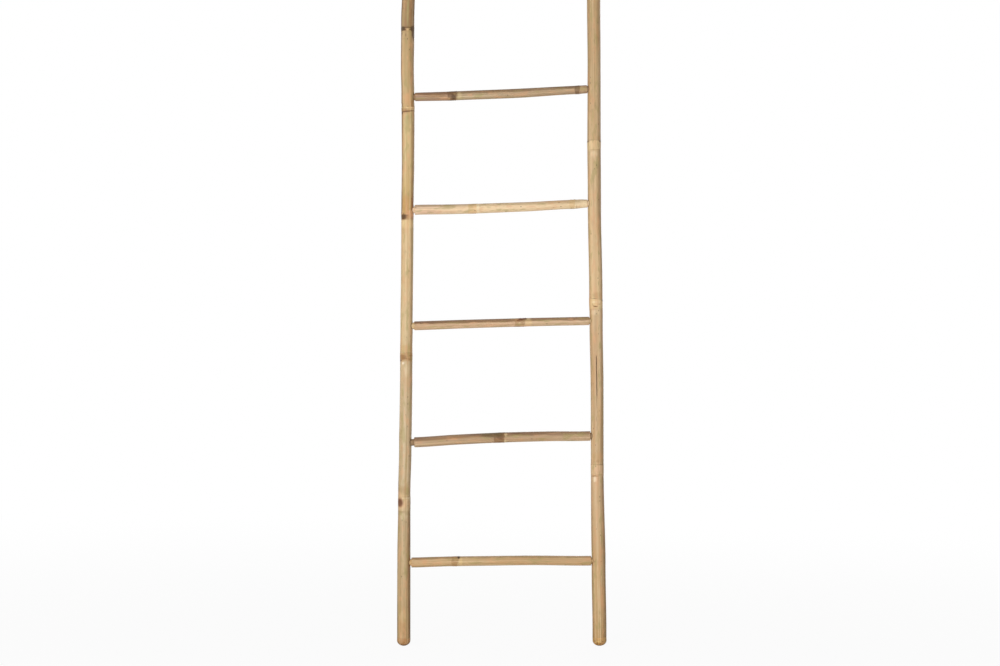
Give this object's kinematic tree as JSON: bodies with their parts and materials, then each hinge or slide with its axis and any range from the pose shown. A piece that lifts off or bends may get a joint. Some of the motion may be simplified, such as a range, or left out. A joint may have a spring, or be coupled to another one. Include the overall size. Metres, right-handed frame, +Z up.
{
  "type": "bamboo blanket ladder",
  "caption": "Leaning rack for blankets and towels: two bamboo poles joined by pared and pegged bamboo rungs, with rounded feet.",
  "frame": {"origin": "on the floor, midway between the outer faces of the two feet, on the plane of both poles", "axes": "+X to the right as seen from the front, +Y to the back, which leans on the wall, +Z up along the poles"},
  "size_m": [0.5011, 0.0348, 1.75],
  "materials": {
    "rail_bamboo": "dried bamboo pole with its natural skin, satin",
    "rung_bamboo": "thin dried bamboo pole with its natural skin, satin, ends pared to bare wood",
    "peg_bamboo": "split bamboo, bare and matt"
  },
  "bodies": {
    "root": {"left_rail": "rail_bamboo", "right_rail": "rail_bamboo", "rung_1": "rung_bamboo", "rung_2": "rung_bamboo", "rung_3": "rung_bamboo", "rung_4": "rung_bamboo", "rung_5": "rung_bamboo", "rung_6": "rung_bamboo", "left_peg_1": "peg_bamboo", "left_peg_2": "peg_bamboo", "left_peg_3": "peg_bamboo", "left_peg_4": "peg_bamboo", "left_peg_5": "peg_bamboo", "left_peg_6": "peg_bamboo", "right_peg_1": "peg_bamboo", "right_peg_2": "peg_bamboo", "right_peg_3": "peg_bamboo", "right_peg_4": "peg_bamboo", "right_peg_5": "peg_bamboo", "right_peg_6": "peg_bamboo"}
  },
  "joints": []
}
